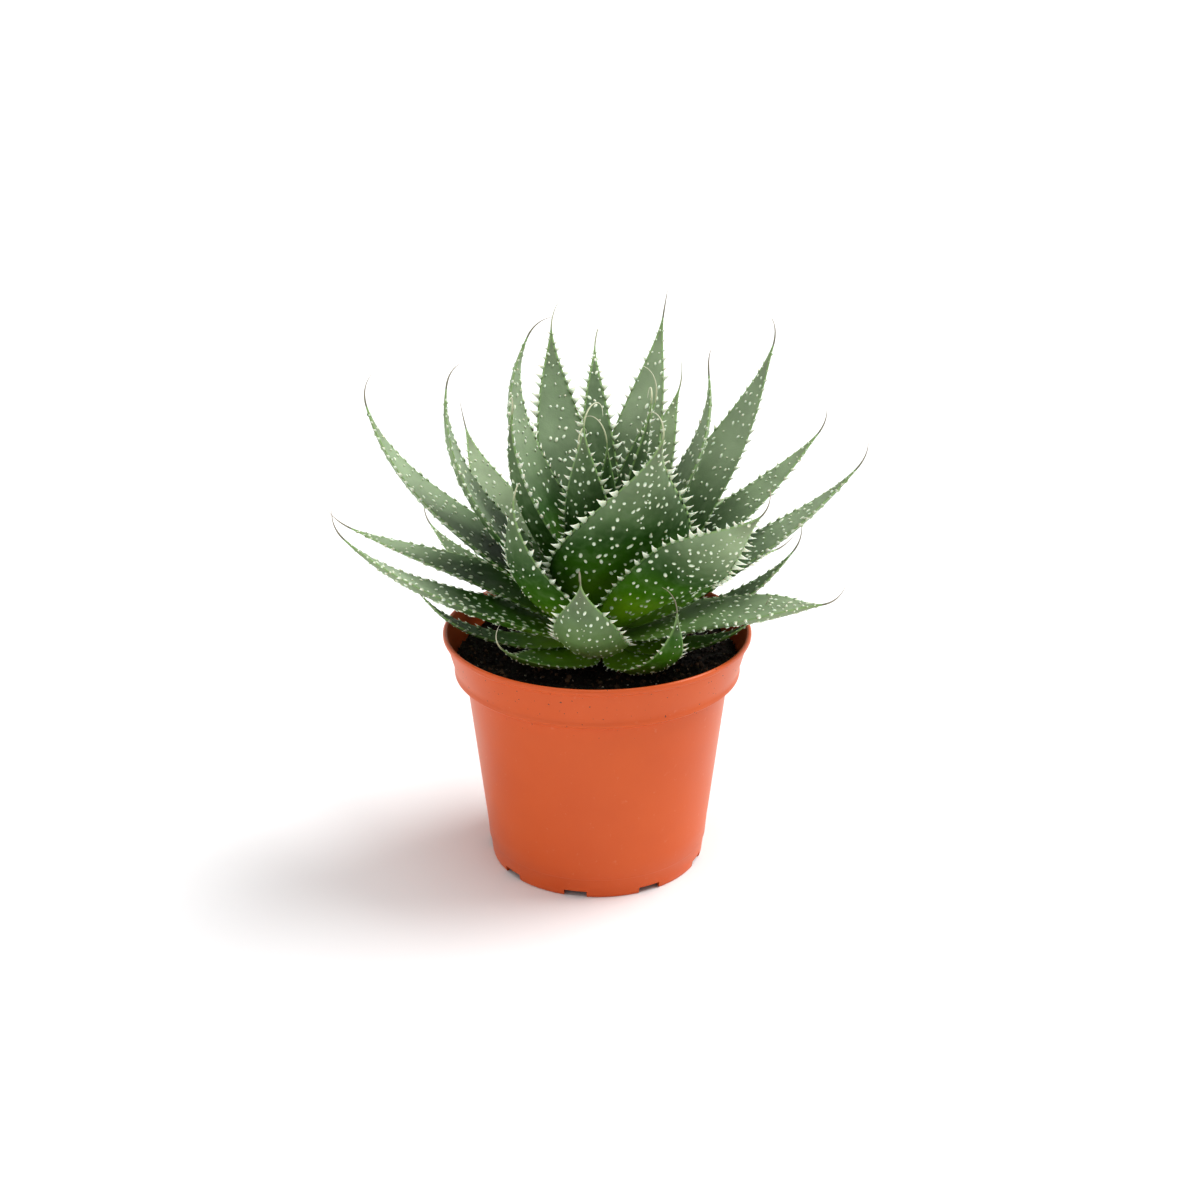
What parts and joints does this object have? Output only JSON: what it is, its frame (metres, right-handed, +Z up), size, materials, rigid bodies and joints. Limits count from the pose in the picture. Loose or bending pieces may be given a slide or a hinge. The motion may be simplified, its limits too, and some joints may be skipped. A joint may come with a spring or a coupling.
{
  "type": "potted succulent plant",
  "caption": "Potted lace aloe: a rosette of fleshy, toothed, white-speckled leaves with bristle tips, growing in dark potting mix in a round tapered plastic nursery pot.",
  "frame": {"origin": "middle of the whole plant's footprint, on the surface under the pot's foot; the pot's axis is 1 mm to the left of it and 7.6 mm in front of it", "axes": "+Z up, -Y towards the front of the plant, +X to its right"},
  "size_m": [0.2153, 0.1625, 0.2179],
  "materials": {
    "pot_plastic": "moulded terracotta-coloured plastic, satin",
    "potting_mix": "loose dark peat with bark crumbs and a few pale grains, matte",
    "stem_tissue": "pale green plant tissue, matte",
    "leaf_tissue": "waxy dark green leaf with pale bumps and teeth, satin"
  },
  "bodies": {
    "root": {"pot": "pot_plastic", "potting_mix": "potting_mix", "stem": "stem_tissue", "outer_leaf_01": "leaf_tissue", "outer_leaf_02": "leaf_tissue", "outer_leaf_03": "leaf_tissue", "outer_leaf_04": "leaf_tissue", "outer_leaf_05": "leaf_tissue", "outer_leaf_06": "leaf_tissue", "outer_leaf_07": "leaf_tissue", "outer_leaf_08": "leaf_tissue", "outer_leaf_09": "leaf_tissue", "outer_leaf_10": "leaf_tissue", "outer_leaf_11": "leaf_tissue", "outer_leaf_12": "leaf_tissue", "outer_leaf_13": "leaf_tissue", "outer_leaf_14": "leaf_tissue", "middle_leaf_01": "leaf_tissue", "middle_leaf_02": "leaf_tissue", "middle_leaf_03": "leaf_tissue", "middle_leaf_04": "leaf_tissue", "middle_leaf_05": "leaf_tissue", "middle_leaf_06": "leaf_tissue", "middle_leaf_07": "leaf_tissue", "middle_leaf_08": "leaf_tissue", "middle_leaf_09": "leaf_tissue", "middle_leaf_10": "leaf_tissue", "middle_leaf_11": "leaf_tissue", "inner_leaf_01": "leaf_tissue", "inner_leaf_02": "leaf_tissue", "inner_leaf_03": "leaf_tissue", "inner_leaf_04": "leaf_tissue", "inner_leaf_05": "leaf_tissue", "inner_leaf_06": "leaf_tissue", "inner_leaf_07": "leaf_tissue", "inner_leaf_08": "leaf_tissue", "inner_leaf_09": "leaf_tissue", "inner_leaf_10": "leaf_tissue", "inner_leaf_11": "leaf_tissue", "inner_leaf_12": "leaf_tissue"}
  },
  "joints": []
}
